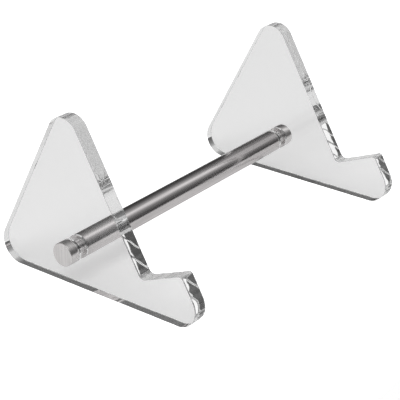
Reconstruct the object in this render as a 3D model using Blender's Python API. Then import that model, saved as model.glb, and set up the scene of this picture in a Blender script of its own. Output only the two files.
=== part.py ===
"""Plate display stand: two clear acrylic side panels joined by a brushed stainless rod.

Each panel is held against one end of the rod by a round cap. The cap carries a
threaded stud, which passes through a bore in the panel into a tapped bore in the
rod, and a clear washer on each face keeps the metal off the acrylic.

X runs along the rod, -Y is the front where the dish leans, and +Z is up. The
origin is on the table under the middle of the stand. Lengths are in metres and
angles in degrees.
"""

import math

import bmesh
import bpy
from mathutils import Vector

# Side panel: its outline lies in the YZ plane.
PANEL_HEIGHT = 0.085
PANEL_DEPTH = 0.119
PANEL_THICKNESS = 0.008
PANELS_APART = 0.157
REAR_EDGE_SLOPE = 62.2
FRONT_EDGE_SLOPE = 60.2
APEX_RADIUS = 0.0095
HEEL_RADIUS = 0.011
TOE_RADIUS = 0.010
PANEL_EDGE_CHAMFER = 0.0003

# Hook that carries the dish: its top falls back towards the notch.
HOOK_HEIGHT = 0.0262
HOOK_TOP_SLOPE = 22.6
HOOK_LIP_RADIUS = 0.002
NOTCH_RADIUS = 0.003

# Rod, its place in the panel and the hardware on its axis.
ROD_RADIUS = 0.006
ROD_AXIS_HEIGHT = 0.0187
ROD_AXIS_TO_REAR = 0.0458
METAL_EDGE_CHAMFER = 0.0005
CAP_LENGTH = 0.0054
WASHER_THICKNESS = 0.0006
STUD_RADIUS = 0.003
STUD_TIP_CHAMFER = 0.0006
STUD_IN_ROD = 0.010
STUD_IN_CAP = 0.0038
BORE_RUNOUT = 0.002

# Clearances.
SEAT_GAP = 0.0003
STUD_CLEARANCE = 0.0003

# Facets of the round shapes.
ARC_STEP = 6.0
TURNED_STEPS = 64
BORE_STEPS = 48

# Places that follow from the sizes above.
WASHER_STACK = WASHER_THICKNESS + 2 * SEAT_GAP
INNER_FACE_X = PANELS_APART / 2
OUTER_FACE_X = INNER_FACE_X + PANEL_THICKNESS
ROD_HALF_LENGTH = INNER_FACE_X - WASHER_STACK
CAP_START_X = OUTER_FACE_X + WASHER_STACK
ROD_AXIS_Y = PANEL_DEPTH / 2 - ROD_AXIS_TO_REAR
BORE_RADIUS = STUD_RADIUS + STUD_CLEARANCE


def clear_scene():
    for obj in list(bpy.data.objects):
        bpy.data.objects.remove(obj, do_unlink=True)


def make_material(name, color, roughness, metallic=0.0, transmission=0.0, ior=1.5):
    material = bpy.data.materials.new(name)
    material.use_nodes = True
    shader = material.node_tree.nodes["Principled BSDF"]
    shader.inputs["Base Color"].default_value = (*color, 1.0)
    shader.inputs["Roughness"].default_value = roughness
    shader.inputs["Metallic"].default_value = metallic
    shader.inputs["Transmission Weight"].default_value = transmission
    shader.inputs["IOR"].default_value = ior
    return material


def acrylic_material(name):
    return make_material(name, (0.93, 0.95, 0.95), 0.03, transmission=0.9, ior=1.49)


def washer_material(name):
    return make_material(name, (0.85, 0.87, 0.87), 0.25, transmission=0.7, ior=1.45)


def brushed_material(name):
    return make_material(name, (0.62, 0.60, 0.58), 0.32, metallic=1.0)


def stud_material(name):
    return make_material(name, (0.50, 0.50, 0.50), 0.40, metallic=1.0)


def add_object(name, mesh, material, location, parent, turn_z=0.0):
    mesh.materials.append(material)
    obj = bpy.data.objects.new(name, mesh)
    obj.location = location
    obj.rotation_euler = (0.0, 0.0, turn_z)
    obj.parent = parent
    bpy.context.scene.collection.objects.link(obj)
    return obj


def add_empty(name, location, parent=None):
    empty = bpy.data.objects.new(name, None)
    empty.location = location
    empty.parent = parent
    bpy.context.scene.collection.objects.link(empty)
    return empty


def smooth_round_faces(mesh):
    mesh.shade_smooth()
    mesh.set_sharp_from_angle(angle=math.radians(30.0))


def finish_mesh(name, bm):
    bmesh.ops.recalc_face_normals(bm, faces=bm.faces)
    mesh = bpy.data.meshes.new(name)
    bm.to_mesh(mesh)
    bm.free()
    smooth_round_faces(mesh)
    return mesh


def turned_mesh(name, profile, steps, ring=False):
    """A solid turned about X from (x, radius) points. A ring's profile is closed, and
    any other profile starts and ends on the axis."""
    bm = bmesh.new()
    verts = [bm.verts.new((x, 0.0, radius)) for x, radius in profile]
    edges = [bm.edges.new(pair) for pair in zip(verts, verts[1:])]
    if ring:
        edges.append(bm.edges.new((verts[-1], verts[0])))
    bmesh.ops.spin(
        bm,
        geom=verts + edges,
        cent=(0.0, 0.0, 0.0),
        axis=(1.0, 0.0, 0.0),
        angle=2 * math.pi,
        steps=steps,
        use_merge=True,
    )
    bmesh.ops.remove_doubles(bm, verts=bm.verts, dist=1e-6)
    return finish_mesh(name, bm)


def slope_direction(angle):
    """Unit vector in the YZ plane, at this angle above the +Y direction."""
    return Vector((math.cos(math.radians(angle)), math.sin(math.radians(angle))))


def meeting_point(point, direction, other_point, other_direction):
    """Where two lines of the YZ plane cross."""
    across = other_point - point
    turn = direction.cross(other_direction)
    return point + direction * (across.cross(other_direction) / turn)


def fillet(corner, before, after, radius):
    """Points of the arc that rounds one corner of the outline."""
    back = (before - corner).normalized()
    onward = (after - corner).normalized()
    half_angle = back.angle(onward) / 2
    centre = corner + (back + onward).normalized() * (radius / math.sin(half_angle))
    run = radius / math.tan(half_angle)
    start = corner + back * run - centre
    turn = start.angle_signed(corner + onward * run - centre)
    steps = max(1, math.ceil(abs(math.degrees(turn)) / ARC_STEP))
    first = math.atan2(start.y, start.x)
    angles = [first - turn * step / steps for step in range(steps + 1)]
    return [centre + radius * Vector((math.cos(a), math.sin(a))) for a in angles]


def panel_outline():
    """(y, z) points round the panel: apex, heel, toe, hook lip and notch."""
    level = slope_direction(0.0)
    rear = slope_direction(180.0 - REAR_EDGE_SLOPE)
    rear_normal = slope_direction(90.0 - REAR_EDGE_SLOPE)
    front = slope_direction(FRONT_EDGE_SLOPE)
    front_normal = slope_direction(90.0 + FRONT_EDGE_SLOPE)
    hook_top = slope_direction(-HOOK_TOP_SLOPE)

    heel_centre = Vector((PANEL_DEPTH / 2 - HEEL_RADIUS, HEEL_RADIUS))
    toe_centre = Vector((-PANEL_DEPTH / 2 + TOE_RADIUS, TOE_RADIUS))
    table = Vector((0.0, 0.0))
    rear_point = heel_centre + rear_normal * HEEL_RADIUS
    tip_point = toe_centre + front_normal * TOE_RADIUS

    apex_height = Vector((0.0, PANEL_HEIGHT - APEX_RADIUS))
    apex_inset = rear_point - rear_normal * APEX_RADIUS
    apex_centre = meeting_point(apex_inset, rear, apex_height, level)
    slant_point = apex_centre + front_normal * APEX_RADIUS

    apex = meeting_point(rear_point, rear, slant_point, front)
    heel = meeting_point(rear_point, rear, table, level)
    toe = meeting_point(tip_point, front, table, level)
    lip = meeting_point(tip_point, front, Vector((0.0, HOOK_HEIGHT)), level)
    notch = meeting_point(lip, hook_top, slant_point, front)

    corners = [apex, heel, toe, lip, notch]
    radii = [APEX_RADIUS, HEEL_RADIUS, TOE_RADIUS, HOOK_LIP_RADIUS, NOTCH_RADIUS]
    outline = []
    for index, (corner, radius) in enumerate(zip(corners, radii)):
        after = corners[(index + 1) % len(corners)]
        outline += fillet(corner, corners[index - 1], after, radius)
    return outline


def panel_mesh():
    """The panel's plate, with its origin at the middle of its thickness on the rod's axis."""
    bm = bmesh.new()
    half = PANEL_THICKNESS / 2
    verts = [
        bm.verts.new((-half, y - ROD_AXIS_Y, z - ROD_AXIS_HEIGHT))
        for y, z in panel_outline()
    ]
    face = bm.faces.new(verts)
    grown = bmesh.ops.extrude_face_region(bm, geom=[face])["geom"]
    moved = [item for item in grown if isinstance(item, bmesh.types.BMVert)]
    bmesh.ops.translate(bm, verts=moved, vec=(PANEL_THICKNESS, 0.0, 0.0))
    return finish_mesh("side_panel", bm)


def make_bore_cutter(parent, location):
    """A plain cylinder along X that is longer than the panel is thick."""
    reach = PANEL_THICKNESS
    profile = [(-reach, 0.0), (-reach, BORE_RADIUS), (reach, BORE_RADIUS), (reach, 0.0)]
    mesh = turned_mesh("panel_bore_cutter", profile, BORE_STEPS)
    cutter = bpy.data.objects.new("panel_bore_cutter", mesh)
    cutter.location = location
    cutter.parent = parent
    cutter.hide_render = True
    cutter.display_type = "WIRE"
    bpy.context.scene.collection.objects.link(cutter)
    return cutter


def make_side_panel(side, sign, axis_empty):
    location = (sign * (INNER_FACE_X + PANEL_THICKNESS / 2), 0.0, 0.0)
    name = f"{side}_side_panel"
    material = acrylic_material(f"{side}_panel_acrylic")
    panel = add_object(name, panel_mesh(), material, location, axis_empty)
    chamfer = panel.modifiers.new("edge_chamfer", "BEVEL")
    chamfer.width = PANEL_EDGE_CHAMFER
    chamfer.segments = 1
    chamfer.limit_method = "ANGLE"
    chamfer.angle_limit = math.radians(60.0)
    bore = panel.modifiers.new("stud_bore", "BOOLEAN")
    bore.operation = "DIFFERENCE"
    bore.solver = "EXACT"
    bore.object = make_bore_cutter(axis_empty, location)


def make_cross_rod(axis_empty):
    """The rod, with a tapped blind bore and a chamfered rim at each end."""
    end = ROD_HALF_LENGTH
    floor = end - STUD_IN_ROD - SEAT_GAP - BORE_RUNOUT
    right_half = [
        (end - METAL_EDGE_CHAMFER, ROD_RADIUS),
        (end, ROD_RADIUS - METAL_EDGE_CHAMFER),
        (end, BORE_RADIUS),
        (floor, BORE_RADIUS),
        (floor, 0.0),
    ]
    left_half = [(-x, radius) for x, radius in reversed(right_half)]
    mesh = turned_mesh("cross_rod", left_half + right_half, TURNED_STEPS)
    material = brushed_material("rod_brushed_steel")
    add_object("cross_rod", mesh, material, (0.0, 0.0, 0.0), axis_empty)


def make_end_cap(side, sign, turn, axis_empty):
    """A turned button with a blind bore in its back for the stud."""
    bore_floor = STUD_IN_CAP + SEAT_GAP
    profile = [
        (bore_floor, 0.0),
        (bore_floor, BORE_RADIUS),
        (0.0, BORE_RADIUS),
        (0.0, ROD_RADIUS - METAL_EDGE_CHAMFER),
        (METAL_EDGE_CHAMFER, ROD_RADIUS),
        (CAP_LENGTH - METAL_EDGE_CHAMFER, ROD_RADIUS),
        (CAP_LENGTH, ROD_RADIUS - METAL_EDGE_CHAMFER),
        (CAP_LENGTH, 0.0),
    ]
    mesh = turned_mesh("end_cap", profile, TURNED_STEPS)
    material = brushed_material(f"{side}_cap_brushed_steel")
    location = (sign * CAP_START_X, 0.0, 0.0)
    add_object(f"{side}_end_cap", mesh, material, location, axis_empty, turn)


def make_threaded_stud(side, sign, turn, axis_empty):
    """The stud, from inside the cap, through washers and panel, into the rod."""
    inner_end = ROD_HALF_LENGTH - STUD_IN_ROD - CAP_START_X
    outer_end = STUD_IN_CAP
    tip_radius = STUD_RADIUS - STUD_TIP_CHAMFER
    profile = [
        (inner_end, 0.0),
        (inner_end, tip_radius),
        (inner_end + STUD_TIP_CHAMFER, STUD_RADIUS),
        (outer_end - STUD_TIP_CHAMFER, STUD_RADIUS),
        (outer_end, tip_radius),
        (outer_end, 0.0),
    ]
    mesh = turned_mesh("threaded_stud", profile, BORE_STEPS)
    material = stud_material(f"{side}_stud_steel")
    location = (sign * CAP_START_X, 0.0, 0.0)
    add_object(f"{side}_threaded_stud", mesh, material, location, axis_empty, turn)


def make_washer(name, start_x, sign, axis_empty):
    """A flat clear ring as wide as the rod."""
    profile = [
        (0.0, BORE_RADIUS),
        (0.0, ROD_RADIUS),
        (WASHER_THICKNESS, ROD_RADIUS),
        (WASHER_THICKNESS, BORE_RADIUS),
    ]
    mesh = turned_mesh(name, profile, TURNED_STEPS, ring=True)
    location = (sign * (start_x + WASHER_THICKNESS / 2) - WASHER_THICKNESS / 2, 0.0, 0.0)
    add_object(name, mesh, washer_material(f"{name}_clear"), location, axis_empty)


def build_stand():
    clear_scene()
    stand = add_empty("stand", (0.0, 0.0, 0.0))
    rod_axis = add_empty("rod_axis", (0.0, ROD_AXIS_Y, ROD_AXIS_HEIGHT), stand)
    make_cross_rod(rod_axis)
    for side, sign, turn in (("left", -1, math.pi), ("right", 1, 0.0)):
        make_side_panel(side, sign, rod_axis)
        make_washer(f"{side}_inner_washer", ROD_HALF_LENGTH + SEAT_GAP, sign, rod_axis)
        make_washer(f"{side}_outer_washer", OUTER_FACE_X + SEAT_GAP, sign, rod_axis)
        make_end_cap(side, sign, turn, rod_axis)
        make_threaded_stud(side, sign, turn, rod_axis)


build_stand()
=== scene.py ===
import math

import bmesh
import bpy
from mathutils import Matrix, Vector, noise
from mathutils.geometry import tessellate_polygon


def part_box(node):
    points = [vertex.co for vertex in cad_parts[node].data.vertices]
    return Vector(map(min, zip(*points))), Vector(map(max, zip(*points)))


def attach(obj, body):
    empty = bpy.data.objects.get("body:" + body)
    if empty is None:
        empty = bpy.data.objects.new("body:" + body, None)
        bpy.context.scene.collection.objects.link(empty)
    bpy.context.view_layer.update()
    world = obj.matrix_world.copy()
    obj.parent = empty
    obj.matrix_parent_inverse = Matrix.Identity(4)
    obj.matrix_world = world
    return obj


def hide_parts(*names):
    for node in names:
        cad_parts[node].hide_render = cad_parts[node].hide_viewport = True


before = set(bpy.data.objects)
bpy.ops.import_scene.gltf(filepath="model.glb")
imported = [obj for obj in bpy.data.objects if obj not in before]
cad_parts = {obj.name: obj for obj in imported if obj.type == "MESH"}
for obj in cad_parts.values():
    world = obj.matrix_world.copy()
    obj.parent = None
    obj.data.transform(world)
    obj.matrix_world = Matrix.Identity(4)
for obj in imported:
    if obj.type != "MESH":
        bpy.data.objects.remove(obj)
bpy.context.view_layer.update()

# The plate display stand's looks: two clear acrylic side panels, a brushed stainless
# rod between them, and on each end of the rod a turned cap, a threaded stud and two
# clear washers. X runs along the rod, -Y is the front and +Z is up. Lengths are in
# metres and angles in degrees.

# Panel outline, beyond what the frame's boxes give.
REAR_EDGE_SLOPE = 62.2
FRONT_EDGE_SLOPE = 60.2
APEX_RADIUS = 0.0095
HEEL_RADIUS = 0.011
TOE_RADIUS = 0.010
HOOK_HEIGHT = 0.0262
HOOK_TOP_SLOPE = 22.6
HOOK_LIP_RADIUS = 0.002
NOTCH_RADIUS = 0.003

# How finely the panel's edge is drawn, and how it is finished. A cut edge has long waves
# left by the cutter and ripples left by the polishing flame.
ARC_STEP = 2.0
EDGE_STEP = 0.0006
EDGE_ROUND = 0.0003
EDGE_ROUND_STEPS = 3
EDGE_COLUMNS = 16
WAVE_DEPTH = 0.00012
WAVE_LENGTH = 0.0040
RIPPLE_DEPTH = 0.000012
RIPPLE_LENGTH = 0.0025
# How far each face of a sheet lies inside its nominal thickness.
SHEET_UNDERSIZE = {"left": 0.00001, "right": 0.00016}
BORE_DEBURR = 0.0002
BORE_CLEARANCE = 0.0003
ROD_BORE_SPARE = 0.002

# Metal parts and washers. Thread flanks are shares of half a thread's pitch.
RIM_ROUND = 0.0005
RIM_STEPS = 5
TURNED_STEPS = 128
THREAD_PITCH = 0.001
THREAD_DEPTH = 0.00055
THREAD_FLANK = 0.35
THREAD_FLANK_END = 0.75
THREAD_ROWS = 10
THREAD_STEPS = 48
THREAD_CHAMFER = 0.0006
WASHER_AIR = 0.00004
WASHER_ROUND = 0.0001
SHARP_ANGLE = 30.0
THREAD_SHARP_ANGLE = 60.0

# Surfaces. Grain scales are per metre and bump heights are in metres.
ACRYLIC_IOR = 1.49
WASHER_IOR = 1.45
EDGE_GRAIN_SCALE = 900.0
EDGE_GRAIN_STRENGTH = 0.02
EDGE_GRAIN_HEIGHT = 0.00004
BORE_ROUGHNESS = 0.05
BORE_RING_SCALE = 3000.0
BORE_RING_STRENGTH = 0.3
BORE_RING_HEIGHT = 0.00003
WASHER_ROUGHNESS = 0.08
WASHER_GRAIN_SCALE = 1800.0
WASHER_GRAIN_STRENGTH = 0.1
WASHER_GRAIN_HEIGHT = 0.00003
LATHE_LINE_SCALE = 5000.0
STUD_GRAIN_SCALE = 1500.0
METAL_LINE_STRENGTH = 0.01
METAL_LINE_HEIGHT = 0.00002
STREAK_SCALE = 900.0
STREAK_DARKENING = 0.85
NOISE_DETAIL = 3.0
# Noise seldom leaves this range, which is stretched to the range wanted.
NOISE_LOW = 0.3
NOISE_HIGH = 0.7

# Camera: direction and distance from the point that it looks at.
CAMERA_AZIMUTH = -52.53
CAMERA_ELEVATION = 25.63
CAMERA_DISTANCE = 0.71002
CAMERA_TARGET = (0.01653, 0.01673, 0.00461)
CAMERA_LENS_MM = 120.4
CAMERA_SENSOR_MM = 36.0

# Studio. Each softbox has a place, an aim, two side lengths and a radiance.
KEY_LIGHT = ((0.8, -0.28, 1.0), (0.8, 0.0, 0.0), 2.6, 0.42, 1.2)
FILL_LIGHT = ((-0.7, -0.1, 0.6), (-0.1, 0.0, 0.0), 0.5, 0.5, 1.5)
# The table's white. The camera sees it lifted to the white of the background.
FLOOR_REACH = 30.0
FLOOR_FRONT = -0.15
FLOOR_DROP = 0.00005
FLOOR_ALBEDO = 0.80
FLOOR_GLOW = 0.38
FLOOR_CAMERA_LIFT = 0.8
# Brightness of the room round the table, in half turns from the horizon behind the
# stand (0) through straight up (0.5) to the horizon in front of it (1), and on down to
# the pale ground before the table. A long soft light hangs overhead.
ROOM_STOPS = (
    (0.00, 0.05),
    (0.15, 0.05),
    (0.22, 0.08),
    (0.29, 0.14),
    (0.37, 0.26),
    (0.45, 0.42),
    (0.52, 0.75),
    (0.56, 1.15),
    (0.62, 1.15),
    (0.66, 0.80),
    (0.72, 0.42),
    (0.79, 0.26),
    (0.85, 0.18),
    (0.91, 0.11),
    (1.00, 0.07),
    (1.04, 0.05),
    (1.05, 0.80),
)
# The same on the left, where a white wall stands behind.
LEFT_STOPS = (
    (0.00, 0.30),
    (0.08, 0.75),
    (0.13, 1.00),
    (0.32, 1.00),
    (0.38, 0.50),
    (0.45, 0.42),
    (0.52, 0.75),
    (0.56, 1.15),
    (0.62, 1.15),
    (0.66, 0.80),
    (0.72, 0.42),
    (0.82, 0.20),
    (1.00, 0.12),
    (1.04, 0.12),
    (1.05, 0.80),
)
# The most of either that shows through the acrylic, which dims the overhead light.
THROUGH_ACRYLIC_STOPS = (
    (0.00, 1.00),
    (0.40, 1.00),
    (0.46, 0.62),
    (1.04, 0.62),
    (1.05, 1.00),
)
# How far to the left, as the X of a direction, the left room starts and is complete.
LEFT_START = -0.15
LEFT_FULL = -0.45
ROOM_AMBIENT = 0.25
LIGHT_BOUNCES = 64
DIFFUSE_BOUNCES = 4

CLEAR = (1.0, 1.0, 1.0)
NEARLY_CLEAR = (0.99, 0.99, 0.99)
WHITE = (1.0, 1.0, 1.0)
EVEN = (1.0, 1.0, 1.0)


def round_size(node):
    """Axis (y, z) and radius of a round CAD node that lies along X."""
    low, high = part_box(node)
    axis = Vector(((low.y + high.y) / 2, (low.z + high.z) / 2))
    return axis, (high.z - low.z) / 2


# Sizes that the pieces on the rod's axis share.
ROD_AXIS, ROD_RADIUS = round_size("cross_rod")
STUD_RADIUS = round_size("right_threaded_stud")[1]
BORE_RADIUS = STUD_RADIUS + BORE_CLEARANCE


# ---------------------------------------------------------------- materials


def new_material(name):
    material = bpy.data.materials.new(name)
    material.use_nodes = True
    nodes = material.node_tree.nodes
    return material, nodes, material.node_tree.links, nodes["Principled BSDF"]


def add_node(nodes, kind, **settings):
    node = nodes.new(kind)
    for key, value in settings.items():
        setattr(node, key, value)
    return node


def stretched_noise(nodes, links, stretch, scale):
    """Noise in the object's own coordinates, with each axis scaled by stretch."""
    place = add_node(nodes, "ShaderNodeTexCoord")
    mapping = add_node(nodes, "ShaderNodeMapping")
    mapping.inputs["Scale"].default_value = stretch
    texture = add_node(nodes, "ShaderNodeTexNoise")
    texture.inputs["Scale"].default_value = scale
    texture.inputs["Detail"].default_value = NOISE_DETAIL
    links.new(place.outputs["Object"], mapping.inputs["Vector"])
    links.new(mapping.outputs["Vector"], texture.inputs["Vector"])
    return texture.outputs["Fac"]


def remap(nodes, links, value, low, high):
    """Stretches noise to the range low to high."""
    ramp = add_node(nodes, "ShaderNodeMapRange")
    ramp.inputs["From Min"].default_value = NOISE_LOW
    ramp.inputs["From Max"].default_value = NOISE_HIGH
    ramp.inputs["To Min"].default_value = low
    ramp.inputs["To Max"].default_value = high
    links.new(value, ramp.inputs["Value"])
    return ramp.outputs["Result"]


def add_bump(nodes, links, shader, height, strength, distance):
    bump = add_node(nodes, "ShaderNodeBump")
    bump.inputs["Strength"].default_value = strength
    bump.inputs["Distance"].default_value = distance
    links.new(height, bump.inputs["Height"])
    links.new(bump.outputs["Normal"], shader.inputs["Normal"])


def acrylic_material(name, tint, roughness):
    material, nodes, links, shader = new_material(name)
    shader.inputs["Base Color"].default_value = (*tint, 1.0)
    shader.inputs["Roughness"].default_value = roughness
    shader.inputs["Transmission Weight"].default_value = 1.0
    shader.inputs["IOR"].default_value = ACRYLIC_IOR
    return material, nodes, links, shader


def face_acrylic():
    material, *_ = acrylic_material("acrylic_polished_face", CLEAR, 0.0)
    return material


def edge_acrylic():
    """The cut edge: fine striations that run straight through the sheet."""
    material, nodes, links, shader = acrylic_material("acrylic_cut_edge", CLEAR, 0.0)
    lines = stretched_noise(nodes, links, (0.15, 1.0, 1.0), EDGE_GRAIN_SCALE)
    add_bump(nodes, links, shader, lines, EDGE_GRAIN_STRENGTH, EDGE_GRAIN_HEIGHT)
    return material


def bore_acrylic():
    """The drilled bore: rings left by the drill, a little cloudy."""
    material, nodes, links, shader = acrylic_material(
        "acrylic_drilled_bore", NEARLY_CLEAR, BORE_ROUGHNESS
    )
    rings = stretched_noise(nodes, links, (1.0, 0.05, 0.05), BORE_RING_SCALE)
    add_bump(nodes, links, shader, rings, BORE_RING_STRENGTH, BORE_RING_HEIGHT)
    return material


def brushed_metal(name, tint, lines_stretch, lines_scale, roughness, anisotropy, streaks):
    """Metal with fine lines in its roughness and bump, and darker streaks in its colour."""
    material, nodes, links, shader = new_material(name)
    shader.inputs["Metallic"].default_value = 1.0
    shader.inputs["Anisotropic"].default_value = anisotropy
    tangent = add_node(nodes, "ShaderNodeTangent", direction_type="RADIAL", axis="X")
    links.new(tangent.outputs["Tangent"], shader.inputs["Tangent"])
    lines = stretched_noise(nodes, links, lines_stretch, lines_scale)
    low, high = roughness
    links.new(remap(nodes, links, lines, low, high), shader.inputs["Roughness"])
    streak = stretched_noise(nodes, links, streaks, STREAK_SCALE)
    colour = add_node(nodes, "ShaderNodeMix", data_type="RGBA")
    colour.inputs["A"].default_value = (*[STREAK_DARKENING * c for c in tint], 1.0)
    colour.inputs["B"].default_value = (*tint, 1.0)
    links.new(remap(nodes, links, streak, 0.0, 1.0), colour.inputs["Factor"])
    links.new(colour.outputs["Result"], shader.inputs["Base Color"])
    add_bump(nodes, links, shader, lines, METAL_LINE_STRENGTH, METAL_LINE_HEIGHT)
    return material


def rod_metal():
    return brushed_metal(
        "stainless_rod",
        tint=(0.625, 0.60, 0.60),
        lines_stretch=(1.0, 0.03, 0.03),
        lines_scale=LATHE_LINE_SCALE,
        roughness=(0.16, 0.20),
        anisotropy=0.4,
        streaks=(0.04, 1.0, 1.0),
    )


def cap_metal():
    return brushed_metal(
        "stainless_cap",
        tint=(0.78, 0.76, 0.755),
        lines_stretch=(1.0, 0.03, 0.03),
        lines_scale=LATHE_LINE_SCALE,
        roughness=(0.26, 0.30),
        anisotropy=0.3,
        streaks=(1.0, 1.0, 0.05),
    )


def stud_metal():
    return brushed_metal(
        "stud_steel",
        tint=(0.52, 0.52, 0.52),
        lines_stretch=(0.3, 1.0, 1.0),
        lines_scale=STUD_GRAIN_SCALE,
        roughness=(0.25, 0.40),
        anisotropy=0.0,
        streaks=EVEN,
    )


def washer_plastic():
    material, nodes, links, shader = acrylic_material(
        "washer_clear_plastic", NEARLY_CLEAR, WASHER_ROUGHNESS
    )
    shader.inputs["IOR"].default_value = WASHER_IOR
    grain = stretched_noise(nodes, links, EVEN, WASHER_GRAIN_SCALE)
    add_bump(nodes, links, shader, grain, WASHER_GRAIN_STRENGTH, WASHER_GRAIN_HEIGHT)
    return material


# ---------------------------------------------------------------- meshes


def piece(name, bm, materials, body, slot, *nodes):
    """A finished piece that stands for these CAD nodes and rides on their body."""
    mesh = bpy.data.meshes.new(name)
    bm.to_mesh(mesh)
    bm.free()
    for material in materials:
        mesh.materials.append(material)
    obj = bpy.data.objects.new(name, mesh)
    bpy.context.scene.collection.objects.link(obj)
    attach(obj, body)
    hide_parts(*nodes)


def ring_of(bm, x, centre, radius, steps):
    """Vertices in a circle round the line along X through centre (y, z)."""
    turns = [2 * math.pi * step / steps for step in range(steps)]
    return [
        bm.verts.new((x, centre.x + radius * math.cos(a), centre.y + radius * math.sin(a)))
        for a in turns
    ]


def join_rings(bm, first, second, material_index=0):
    count = len(first)
    for i in range(count):
        k = (i + 1) % count
        face = bm.faces.new((first[i], first[k], second[k], second[i]))
        face.smooth = True
        face.material_index = material_index


def close_ring(bm, ring):
    face = bm.faces.new(ring)
    face.smooth = False


def turned(bm, profile, centre, closed=False):
    """Turns (x, radius) points round the X axis. Its ends are flat discs, unless it is
    closed into a ring."""
    rings = []
    for x, radius in profile:
        rings.append(ring_of(bm, x, centre, radius, TURNED_STEPS))
    pairs = list(zip(rings, rings[1:]))
    if closed:
        pairs.append((rings[-1], rings[0]))
    for first, second in pairs:
        join_rings(bm, first, second)
    if not closed:
        close_ring(bm, rings[0])
        close_ring(bm, rings[-1])
    bmesh.ops.recalc_face_normals(bm, faces=bm.faces)


def rim_arc(centre_x, centre_r, radius, start, end, steps):
    """(x, radius) points of a rim's arc, with its angles measured from +X towards +r."""
    points = []
    for step in range(steps + 1):
        a = math.radians(start + (end - start) * step / steps)
        points.append((centre_x + radius * math.cos(a), centre_r + radius * math.sin(a)))
    return points


def mark_sharp(bm, angle=SHARP_ANGLE):
    """Keeps flat faces flat where they meet a round one."""
    limit = math.radians(angle)
    for edge in bm.edges:
        if len(edge.link_faces) == 2 and edge.calc_face_angle(0.0) > limit:
            edge.smooth = False


# ---------------------------------------------------------------- panel outline


def slope_direction(angle):
    """Unit vector in the YZ plane, at this angle above the +Y direction."""
    return Vector((math.cos(math.radians(angle)), math.sin(math.radians(angle))))


def meeting_point(point, direction, other_point, other_direction):
    """Where two lines of the YZ plane cross."""
    across = other_point - point
    turn = direction.cross(other_direction)
    return point + direction * (across.cross(other_direction) / turn)


def fillet(corner, before, after, radius):
    """(point, outward normal) pairs along the arc that rounds one corner."""
    back = (before - corner).normalized()
    onward = (after - corner).normalized()
    half_angle = back.angle(onward) / 2
    centre = corner + (back + onward).normalized() * (radius / math.sin(half_angle))
    run = radius / math.tan(half_angle)
    start = corner + back * run - centre
    turn = start.angle_signed(corner + onward * run - centre)
    steps = max(2, math.ceil(abs(math.degrees(turn)) / ARC_STEP))
    first = math.atan2(start.y, start.x)
    # The outline runs clockwise, so an arc that turns the other way is hollow.
    outward = 1.0 if turn > 0 else -1.0
    pairs = []
    for step in range(steps + 1):
        a = first - turn * step / steps
        spoke = Vector((math.cos(a), math.sin(a)))
        pairs.append((centre + radius * spoke, outward * spoke))
    return pairs


def panel_corners(low, high):
    """Corners of the panel before rounding, inside its CAD box."""
    level = slope_direction(0.0)
    rear = slope_direction(180.0 - REAR_EDGE_SLOPE)
    rear_normal = slope_direction(90.0 - REAR_EDGE_SLOPE)
    front = slope_direction(FRONT_EDGE_SLOPE)
    front_normal = slope_direction(90.0 + FRONT_EDGE_SLOPE)
    hook_top = slope_direction(-HOOK_TOP_SLOPE)

    heel_centre = Vector((high.y - HEEL_RADIUS, HEEL_RADIUS))
    toe_centre = Vector((low.y + TOE_RADIUS, TOE_RADIUS))
    table = Vector((0.0, low.z))
    rear_point = heel_centre + rear_normal * HEEL_RADIUS
    tip_point = toe_centre + front_normal * TOE_RADIUS
    apex_height = Vector((0.0, high.z - APEX_RADIUS))
    apex_inset = rear_point - rear_normal * APEX_RADIUS
    apex_centre = meeting_point(apex_inset, rear, apex_height, level)
    slant_point = apex_centre + front_normal * APEX_RADIUS

    apex = meeting_point(rear_point, rear, slant_point, front)
    heel = meeting_point(rear_point, rear, table, level)
    toe = meeting_point(tip_point, front, table, level)
    lip = meeting_point(tip_point, front, Vector((0.0, HOOK_HEIGHT)), level)
    notch = meeting_point(lip, hook_top, slant_point, front)
    radii = [APEX_RADIUS, HEEL_RADIUS, TOE_RADIUS, HOOK_LIP_RADIUS, NOTCH_RADIUS]
    return list(zip([apex, heel, toe, lip, notch], radii))


def panel_outline(low, high):
    """(point, outward normal) pairs round the panel, with its straight runs divided."""
    corners = panel_corners(low, high)
    arcs = []
    for index, (corner, radius) in enumerate(corners):
        after = corners[(index + 1) % len(corners)][0]
        arcs.append(fillet(corner, corners[index - 1][0], after, radius))
    outline = []
    for index, arc in enumerate(arcs):
        outline += arc
        start, normal = arc[-1]
        end = arcs[(index + 1) % len(arcs)][0][0]
        parts = max(1, round((end - start).length / EDGE_STEP))
        for part in range(1, parts):
            outline.append((start.lerp(end, part / parts), normal))
    return outline


def edge_section(half):
    """(x, inset) points across the panel's edge, from one rounded rim to the other."""
    rim = rim_arc(half - EDGE_ROUND, EDGE_ROUND, EDGE_ROUND, 0.0, 90.0, EDGE_ROUND_STEPS)
    right = [(x, 2 * EDGE_ROUND - reach) for x, reach in rim]
    flat = half - EDGE_ROUND
    across = [
        (flat - 2 * flat * column / EDGE_COLUMNS, 0.0) for column in range(1, EDGE_COLUMNS)
    ]
    left = [(-x, inset) for x, inset in reversed(right)]
    return right + across + left


def edge_wave(point, x):
    """How far a cut edge lies below its true line: long waves left by the cutter, which
    run nearly straight through the sheet, and ripples left by the polishing flame."""
    place = Vector((point.x / WAVE_LENGTH, point.y / WAVE_LENGTH, x / (4 * WAVE_LENGTH)))
    wave = WAVE_DEPTH * (0.5 + 0.5 * noise.noise(place))
    place = Vector((point.x, point.y, x)) / RIPPLE_LENGTH
    return wave + RIPPLE_DEPTH * (0.5 + 0.5 * noise.noise(place))


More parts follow.
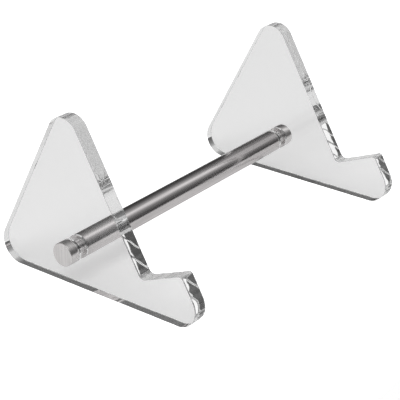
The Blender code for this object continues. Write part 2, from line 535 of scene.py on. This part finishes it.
def add_panel_bore(bm, middle, half, centre, radius):
    """The bore's wall with a small bevel at each mouth, and its four rings."""
    rings = [
        ring_of(bm, middle + half, centre, radius + BORE_DEBURR, TURNED_STEPS),
        ring_of(bm, middle + half - BORE_DEBURR, centre, radius, TURNED_STEPS),
        ring_of(bm, middle - half + BORE_DEBURR, centre, radius, TURNED_STEPS),
        ring_of(bm, middle - half, centre, radius + BORE_DEBURR, TURNED_STEPS),
    ]
    for first, second in zip(rings, rings[1:]):
        join_rings(bm, first, second, material_index=2)
    return rings


def add_panel_face(bm, outer, inner):
    """A flat face between the outline and the bore's mouth."""
    verts = outer + inner
    for triangle in tessellate_polygon([[v.co for v in outer], [v.co for v in inner]]):
        face = bm.faces.new([verts[i] for i in triangle])
        face.smooth = False


def panel_bm(low, high, undersize, bore_centre, bore_radius):
    bm = bmesh.new()
    middle = (low.x + high.x) / 2
    half = (high.x - low.x) / 2 - undersize
    outline = panel_outline(low, high)
    loops = []
    for x, inset in edge_section(half):
        loop = []
        for point, normal in outline:
            depth = inset + edge_wave(point, x)
            y, z = point - normal * depth
            loop.append(bm.verts.new((middle + x, y, z)))
        loops.append(loop)
    for first, second in zip(loops, loops[1:]):
        join_rings(bm, first, second, material_index=1)

    bore = add_panel_bore(bm, middle, half, bore_centre, bore_radius)
    add_panel_face(bm, loops[0], bore[0])
    add_panel_face(bm, loops[-1], bore[-1])
    bmesh.ops.recalc_face_normals(bm, faces=bm.faces)
    mark_sharp(bm)
    return bm


# ---------------------------------------------------------------- metal and washers


def rod_bm(low, high, axis, radius, bore_radius, bore_depth):
    """The rod, with a rounded rim and a blind bore at each end."""
    r = RIM_ROUND
    right = rim_arc(high.x - r, radius - r, r, 90.0, 0.0, RIM_STEPS)
    right += [(high.x, bore_radius), (high.x - bore_depth, bore_radius)]
    left = [(low.x + high.x - x, rho) for x, rho in reversed(right)]
    bm = bmesh.new()
    turned(bm, left + right, axis)
    mark_sharp(bm)
    return bm


def cap_bm(back_x, front_x, axis, radius, bore_radius, bore_depth):
    """A turned button: rounded rims, a shallow blind bore in its back."""
    out = 1.0 if front_x > back_x else -1.0
    length = abs(front_x - back_x)
    r = RIM_ROUND
    profile = [(bore_depth, bore_radius), (0.0, bore_radius)]
    profile += rim_arc(r, radius - r, r, 180.0, 90.0, RIM_STEPS)
    profile += rim_arc(length - r, radius - r, r, 90.0, 0.0, RIM_STEPS)
    bm = bmesh.new()
    turned(bm, [(back_x + out * x, rho) for x, rho in profile], axis)
    mark_sharp(bm)
    return bm


def washer_bm(low_x, high_x, axis, radius, bore_radius):
    r = WASHER_ROUND
    profile = [
        (low_x, bore_radius),
        (low_x, radius - r),
        (low_x + r, radius),
        (high_x - r, radius),
        (high_x, radius - r),
        (high_x, bore_radius),
    ]
    bm = bmesh.new()
    turned(bm, profile, axis, closed=True)
    mark_sharp(bm)
    return bm


def thread_height(turn):
    """How far a thread stands above its root, 0 to 1, at this share of a turn."""
    near_crest = abs(turn % 1.0 - 0.5) * 2
    return min(1.0, max(0.0, (THREAD_FLANK_END - near_crest) / THREAD_FLANK))


def stud_bm(inner_x, outer_x, axis, radius):
    """A rod with a right-handed thread cut in it, and a chamfer at each end."""
    out = 1.0 if outer_x > inner_x else -1.0
    length = abs(outer_x - inner_x)
    rows = round(length / THREAD_PITCH * THREAD_ROWS)
    bm = bmesh.new()
    rings = []
    for row in range(rows + 1):
        along = length * row / rows
        chamfer = radius - THREAD_CHAMFER + min(along, length - along)
        ring = []
        for step in range(THREAD_STEPS):
            share = step / THREAD_STEPS
            height = thread_height(along / THREAD_PITCH - out * share)
            rho = min(radius - THREAD_DEPTH * (1.0 - height), chamfer)
            a = 2 * math.pi * share
            point = (inner_x + out * along, axis.x + rho * math.cos(a), axis.y + rho * math.sin(a))
            ring.append(bm.verts.new(point))
        rings.append(ring)
    for first, second in zip(rings, rings[1:]):
        join_rings(bm, first, second)
    close_ring(bm, rings[0])
    close_ring(bm, rings[-1])
    bmesh.ops.recalc_face_normals(bm, faces=bm.faces)
    mark_sharp(bm, THREAD_SHARP_ANGLE)
    return bm


# ---------------------------------------------------------------- the object


def ends(node, side):
    """X of a node's two ends, the one nearer the middle of the stand first."""
    low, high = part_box(node)
    return (low.x, high.x) if side == "right" else (high.x, low.x)


def build_rod(look):
    low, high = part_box("cross_rod")
    stud_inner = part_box("right_threaded_stud")[0].x
    bore_depth = high.x - stud_inner + ROD_BORE_SPARE
    bm = rod_bm(low, high, ROD_AXIS, ROD_RADIUS, BORE_RADIUS, bore_depth)
    piece("brushed_rod", bm, [look], "rod", "brushed_stainless", "cross_rod")


def build_panel(side, looks):
    node = f"{side}_side_panel"
    bm = panel_bm(*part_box(node), SHEET_UNDERSIZE[side], ROD_AXIS, BORE_RADIUS)
    piece(f"{side}_acrylic_panel", bm, looks, f"{side}_side", "clear_acrylic", node)


def build_washers(side, look):
    """Each washer fills the space between its metal neighbour and the panel."""
    panel_inner, panel_outer = ends(f"{side}_side_panel", side)
    out = 1.0 if panel_outer > panel_inner else -1.0
    rod_end = ends("cross_rod", side)[1]
    cap_back = ends(f"{side}_end_cap", side)[0]
    spans = (
        ("inner", "rod", rod_end, panel_inner + out * SHEET_UNDERSIZE[side]),
        ("outer", f"{side}_washer", panel_outer - out * SHEET_UNDERSIZE[side], cap_back),
    )
    for place, body, first, last in spans:
        low_x = min(first, last) + WASHER_AIR
        high_x = max(first, last) - WASHER_AIR
        bm = washer_bm(low_x, high_x, ROD_AXIS, ROD_RADIUS, BORE_RADIUS)
        node = f"{side}_{place}_washer"
        piece(f"{side}_{place}_clear_washer", bm, [look], body, "clear_washer", node)


def build_cap(side, look):
    node = f"{side}_end_cap"
    back_x, front_x = ends(node, side)
    stud_outer = ends(f"{side}_threaded_stud", side)[1]
    bore_depth = abs(stud_outer - back_x) + BORE_CLEARANCE
    bm = cap_bm(back_x, front_x, ROD_AXIS, ROD_RADIUS, BORE_RADIUS, bore_depth)
    piece(f"{side}_turned_cap", bm, [look], f"{side}_cap", "brushed_stainless", node)


def build_stud(side, look):
    node = f"{side}_threaded_stud"
    inner_x, outer_x = ends(node, side)
    bm = stud_bm(inner_x, outer_x, ROD_AXIS, STUD_RADIUS)
    piece(f"{side}_screw_stud", bm, [look], f"{side}_cap", "stud_steel", node)


def build_object():
    panel_looks = [face_acrylic(), edge_acrylic(), bore_acrylic()]
    cap_look, stud_look, washer_look = cap_metal(), stud_metal(), washer_plastic()
    build_rod(rod_metal())
    for side in ("left", "right"):
        build_panel(side, panel_looks)
        build_washers(side, washer_look)
        build_cap(side, cap_look)
        build_stud(side, stud_look)


# ---------------------------------------------------------------- studio


def add_camera():
    a, e = math.radians(CAMERA_AZIMUTH), math.radians(CAMERA_ELEVATION)
    back = Vector((math.sin(a) * math.cos(e), -math.cos(a) * math.cos(e), math.sin(e)))
    data = bpy.data.cameras.new("camera")
    data.lens = CAMERA_LENS_MM
    data.sensor_width = CAMERA_SENSOR_MM
    camera = bpy.data.objects.new("camera", data)
    camera.location = Vector(CAMERA_TARGET) + back * CAMERA_DISTANCE
    camera.rotation_mode = "QUATERNION"
    camera.rotation_quaternion = (-back).to_track_quat("-Z", "Y")
    bpy.context.scene.collection.objects.link(camera)
    bpy.context.scene.camera = camera


def add_softbox(name, location, aim, size_x, size_y, radiance):
    """Lights the table only: what the stand mirrors is in the world."""
    data = bpy.data.lights.new(name, "AREA")
    data.shape = "RECTANGLE"
    data.size = size_x
    data.size_y = size_y
    data.energy = radiance * math.pi * size_x * size_y
    light = bpy.data.objects.new(name, data)
    light.location = location
    light.rotation_mode = "QUATERNION"
    light.rotation_quaternion = (Vector(aim) - Vector(location)).to_track_quat("-Z", "Y")
    light.visible_camera = False
    light.visible_glossy = False
    light.visible_transmission = False
    bpy.context.scene.collection.objects.link(light)


def white_table():
    """Matt white that glows a little, and a good deal more for the camera itself."""
    material, nodes, links, shader = new_material("white_table")
    shader.inputs["Base Color"].default_value = (FLOOR_ALBEDO,) * 3 + (1.0,)
    shader.inputs["Roughness"].default_value = 1.0
    shader.inputs["Specular IOR Level"].default_value = 0.0
    path = add_node(nodes, "ShaderNodeLightPath")
    lift = add_node(nodes, "ShaderNodeMath", operation="MULTIPLY_ADD")
    lift.inputs[1].default_value = FLOOR_CAMERA_LIFT
    lift.inputs[2].default_value = FLOOR_GLOW
    links.new(path.outputs["Is Camera Ray"], lift.inputs[0])
    shader.inputs["Emission Color"].default_value = (*WHITE, 1.0)
    links.new(lift.outputs["Value"], shader.inputs["Emission Strength"])
    return material


def add_floor():
    """A plain white table. Its front edge lies a little way before the stand."""
    far, front = FLOOR_REACH, FLOOR_FRONT
    bm = bmesh.new()
    corners = [(-far, front), (far, front), (far, far), (-far, far)]
    bm.faces.new([bm.verts.new((x, y, -FLOOR_DROP)) for x, y in corners])
    mesh = bpy.data.meshes.new("floor")
    bm.to_mesh(mesh)
    bm.free()
    mesh.materials.append(white_table())
    floor = bpy.data.objects.new("floor", mesh)
    bpy.context.scene.collection.objects.link(floor)


def room_ramp(nodes, links, turn, stops):
    """Greys at these half turns. The ramp itself runs over a whole turn."""
    ramp = add_node(nodes, "ShaderNodeValToRGB")
    links.new(turn, ramp.inputs["Fac"])
    elements = ramp.color_ramp.elements
    while len(elements) < len(stops):
        elements.new(1.0)
    for element, (position, grey) in zip(elements, stops):
        element.position = position / 2
        element.color = (grey, grey, grey, 1.0)
    return ramp.outputs["Color"]


def mix_by(nodes, links, factor, first, second):
    """From first to second, each a socket or a plain grey."""
    mix = add_node(nodes, "ShaderNodeMix", data_type="RGBA")
    links.new(factor, mix.inputs["Factor"])
    for socket, value in (("A", first), ("B", second)):
        if isinstance(value, float):
            mix.inputs[socket].default_value = (value, value, value, 1.0)
        else:
            links.new(value, mix.inputs[socket])
    return mix.outputs["Result"]


def turn_round_x(nodes, links, parts):
    """Share of a whole turn from the horizon behind the stand, up and over to its front."""
    angle = add_node(nodes, "ShaderNodeMath", operation="ARCTAN2")
    links.new(parts.outputs["Z"], angle.inputs[0])
    links.new(parts.outputs["Y"], angle.inputs[1])
    share = add_node(nodes, "ShaderNodeMath", operation="DIVIDE")
    share.inputs[1].default_value = 2 * math.pi
    links.new(angle.outputs["Value"], share.inputs[0])
    turn = add_node(nodes, "ShaderNodeMath", operation="FLOORED_MODULO")
    turn.inputs[1].default_value = 1.0
    links.new(share.outputs["Value"], turn.inputs[0])
    return turn.outputs["Value"]


def add_world():
    """The room that the stand mirrors and refracts. It lights the table evenly, and the
    camera itself sees plain white."""
    world = bpy.data.worlds.new("studio")
    world.use_nodes = True
    bpy.context.scene.world = world
    nodes, links = world.node_tree.nodes, world.node_tree.links
    place = add_node(nodes, "ShaderNodeTexCoord")
    parts = add_node(nodes, "ShaderNodeSeparateXYZ")
    links.new(place.outputs["Generated"], parts.inputs["Vector"])
    turn = turn_round_x(nodes, links, parts)
    right = room_ramp(nodes, links, turn, ROOM_STOPS)
    left = room_ramp(nodes, links, turn, LEFT_STOPS)
    side = add_node(nodes, "ShaderNodeMapRange", interpolation_type="SMOOTHSTEP")
    side.inputs["From Min"].default_value = LEFT_START
    side.inputs["From Max"].default_value = LEFT_FULL
    links.new(parts.outputs["X"], side.inputs["Value"])
    path = add_node(nodes, "ShaderNodeLightPath")
    room = mix_by(nodes, links, side.outputs["Result"], right, left)
    limit = room_ramp(nodes, links, turn, THROUGH_ACRYLIC_STOPS)
    dimmed = add_node(nodes, "ShaderNodeMix", data_type="RGBA", blend_type="DARKEN")
    links.new(path.outputs["Is Transmission Ray"], dimmed.inputs["Factor"])
    links.new(room, dimmed.inputs["A"])
    links.new(limit, dimmed.inputs["B"])
    seen = dimmed.outputs["Result"]
    seen = mix_by(nodes, links, path.outputs["Is Diffuse Ray"], seen, ROOM_AMBIENT)
    seen = mix_by(nodes, links, path.outputs["Is Camera Ray"], seen, 1.0)
    links.new(seen, nodes["Background"].inputs["Color"])


def set_up_studio():
    add_camera()
    add_floor()
    add_world()
    add_softbox("key", *KEY_LIGHT)
    add_softbox("fill", *FILL_LIGHT)
    scene = bpy.context.scene
    scene.view_settings.view_transform = "Standard"
    scene.cycles.max_bounces = LIGHT_BOUNCES
    scene.cycles.transmission_bounces = LIGHT_BOUNCES
    scene.cycles.glossy_bounces = LIGHT_BOUNCES
    scene.cycles.diffuse_bounces = DIFFUSE_BOUNCES
    scene.cycles.use_denoising = True


build_object()
set_up_studio()
